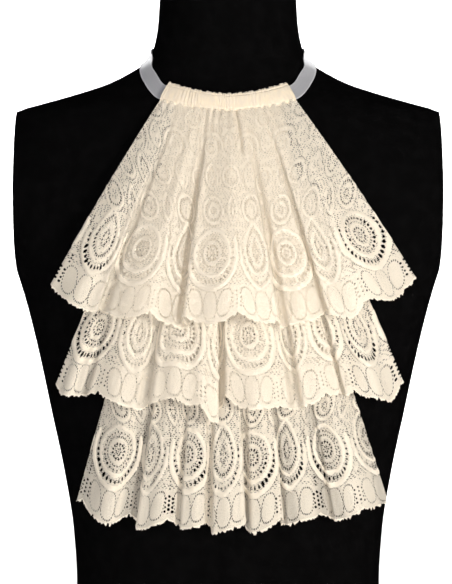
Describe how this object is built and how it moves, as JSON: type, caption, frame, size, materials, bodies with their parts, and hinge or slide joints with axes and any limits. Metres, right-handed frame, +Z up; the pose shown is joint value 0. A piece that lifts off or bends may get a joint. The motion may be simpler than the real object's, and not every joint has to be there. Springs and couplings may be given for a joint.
{
  "type": "tiered lace jabot on a dress form",
  "caption": "Tiered lace jabot, gathered to a narrow casing on satin ribbon, worn by a plain black limbless dress form with a flat base.",
  "frame": {"origin": "middle of the dress form's flat base", "axes": "+Z up the form to the neck, -Y the wearer's front, +X the wearer's left"},
  "size_m": [0.392, 0.2814, 0.655],
  "materials": {
    "lace": "matte ivory cotton lace with raised cords",
    "satin": "soft satin ribbon",
    "form_cover": "matte black stretch cover",
    "backing_cloth": "plain matte cotton"
  },
  "bodies": {
    "root": {"dress_form": "form_cover", "neck_casing": "lace", "ribbon_right": "satin", "ribbon_left": "satin", "backing": "backing_cloth", "tier_top": "lace", "tier_middle": "lace", "tier_bottom": "lace"}
  },
  "joints": []
}
